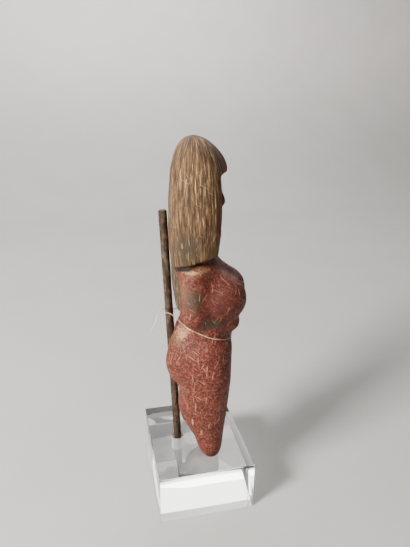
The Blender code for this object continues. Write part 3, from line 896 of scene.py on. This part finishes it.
class FIGURINE_OT_thread(bpy.types.Operator):
    """Makes the nylon thread that ties the waist to the rod."""

    bl_idname = "figurine.thread"
    bl_label = "Nylon thread"

    def execute(self, context):
        place = figurine_place()
        points = smooth_route(TIE_ROUTE, TIE_STEP / 2)
        curve = bpy.data.curves.new("thread", "CURVE")
        curve.dimensions = "3D"
        curve.bevel_depth = TIE_RADIUS * MM
        curve.bevel_resolution = 4
        curve.use_fill_caps = True
        spline = curve.splines.new("POLY")
        spline.points.add(len(points) - 1)
        for knot, point in zip(spline.points, points):
            knot.co = (*(place @ (Vector(point) * MM)), 1.0)
        thread = bpy.data.objects.new("thread", curve)
        context.scene.collection.objects.link(thread)
        curve.materials.append(thread_finish())
        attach(thread, "root")
        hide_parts("nylon_tie")
        return {"FINISHED"}


# The stage


def floor_finish(settings):
    """Pale matt paper, slightly uneven, and paler where it rises behind as painted light on the upper backdrop.
    """
    paper = Finish("floor", Roughness=0.75)
    here = paper.object_place()
    tone = paper.clouds(here, 60.0, 3.0)
    worn = paper.clouds(here, 2.0, 4.0, 0.7)
    height = paper.along(here, "Z")
    # Painted light: the backdrop's colour grows paler towards the top, standing in for the brighter light there
    colour = paper.mix(settings.floor, settings.backdrop, height.above(40.0, 300.0))
    dark = paper.shade(colour, 0.93)
    paper.feed(Base_Color=paper.mix(colour, dark, tone.above(0.35, 0.7) * 0.6 + worn.above(0.4, 0.7) * 0.4))
    return paper.material


def area_light(name, place, size, power, colour):
    """A square soft light that faces the figurine."""
    deselect_all()
    bpy.ops.object.light_add(type="AREA", location=Vector(place) * MM)
    light = bpy.context.active_object
    light.name = name
    light.data.size = size * MM
    light.data.energy = power
    light.data.color = colour
    aim = Vector(LIGHT_AIM) * MM - light.location
    light.rotation_euler = aim.to_track_quat("-Z", "Y").to_euler()
    return light


class FIGURINE_OT_stage(bpy.types.Operator):
    """Makes the floor with its curved backdrop, the soft lights and the camera."""

    bl_idname = "figurine.stage"
    bl_label = "Stage"

    def execute(self, context):
        settings = context.scene.stage_settings
        deselect_all()
        bpy.ops.mesh.primitive_plane_add(size=1.0, location=(0.0, 0.0, FLOOR_HEIGHT))
        floor = bpy.context.active_object
        for corner in floor.data.vertices:
            corner.co.x *= FLOOR_WIDTH
            corner.co.y = FLOOR_BACK if corner.co.y > 0 else FLOOR_FRONT
            corner.select = corner.co.y > 0
        for edge in floor.data.edges:
            edge.select = all(floor.data.vertices[i].select for i in edge.vertices)
        for face in floor.data.polygons:
            face.select = False
        bpy.ops.object.mode_set(mode="EDIT")
        bpy.ops.mesh.select_mode(type="EDGE")
        bpy.ops.mesh.extrude_region_move(TRANSFORM_OT_translate={"value": BACKDROP_RISE})
        bpy.ops.object.mode_set(mode="OBJECT")
        sweep = floor.modifiers.new("Sweep", "BEVEL")
        sweep.width = SWEEP_WIDTH
        sweep.segments = SWEEP_SEGMENTS
        bpy.ops.object.modifier_apply(modifier="Sweep")
        bpy.ops.object.shade_smooth()
        bpy.ops.object.transform_apply(location=True, rotation=True, scale=True)
        floor.name = "floor"
        floor.data.materials.append(floor_finish(settings))

        area_light("key_light", power=settings.key_power, **KEY_LIGHT)
        for name, (place, share) in PANELS.items():
            panel = area_light(name, place, PANEL_SIZE, settings.panel_power * share, PANEL_COLOUR)
            panel.visible_diffuse = False
            panel.visible_glossy = name == "back_light"
        wall = area_light("wall_light", power=settings.wall_power, **WALL_LIGHT)
        wall.rotation_euler = (math.radians(WALL_LIGHT_TILT), 0.0, 0.0)

        world = bpy.data.worlds.new("room")
        world.use_nodes = True
        room = world.node_tree.nodes["Background"]
        room.inputs["Color"].default_value = ROOM_COLOUR
        room.inputs["Strength"].default_value = settings.room_light
        context.scene.world = world

        bpy.ops.object.camera_add()
        camera = bpy.context.active_object
        camera.name = "camera"
        camera.data.lens = CAMERA_LENS
        camera.data.sensor_width = 36.0
        camera.data.clip_start = 0.005
        camera.data.clip_end = 20.0
        yaw = Matrix.Rotation(math.radians(-CAMERA_YAW), 4, "Z")
        pitch = Matrix.Rotation(math.radians(90.0 - CAMERA_PITCH), 4, "X")
        roll = Matrix.Rotation(math.radians(CAMERA_ROLL), 4, "Z")
        camera.matrix_world = Matrix.Translation(Vector(CAMERA_AT) * MM) @ yaw @ pitch @ roll
        context.scene.camera = camera
        return {"FINISHED"}


class FIGURINE_PT_panel(bpy.types.Panel):
    """Buttons for each piece, with its settings."""

    bl_idname = "FIGURINE_PT_panel"
    bl_label = "Figurine"
    bl_space_type = "VIEW_3D"
    bl_region_type = "UI"
    bl_category = "Figurine"

    def draw(self, context):
        scene = context.scene
        for group in (scene.clay_settings, scene.mount_settings, scene.stage_settings):
            box = self.layout.box()
            for key in group.__annotations__:
                box.prop(group, key)
        for operator in OPERATORS:
            self.layout.operator(operator.bl_idname)


SETTINGS = {"clay_settings": ClaySettings, "mount_settings": MountSettings, "stage_settings": StageSettings}
OPERATORS = [FIGURINE_OT_stage, FIGURINE_OT_thread, FIGURINE_OT_rod, FIGURINE_OT_block, FIGURINE_OT_clay]


def register():
    for kind in [*SETTINGS.values(), *OPERATORS, FIGURINE_PT_panel]:
        bpy.utils.register_class(kind)
    for name, kind in SETTINGS.items():
        setattr(bpy.types.Scene, name, PointerProperty(type=kind))


def unregister():
    for name in SETTINGS:
        delattr(bpy.types.Scene, name)
    for kind in reversed([*SETTINGS.values(), *OPERATORS, FIGURINE_PT_panel]):
        bpy.utils.unregister_class(kind)


def main():
    register()
    bpy.ops.figurine.stage()
    bpy.ops.figurine.thread()
    bpy.ops.figurine.rod()
    bpy.ops.figurine.block()
    bpy.ops.figurine.clay()


if __name__ == "__main__":
    main()
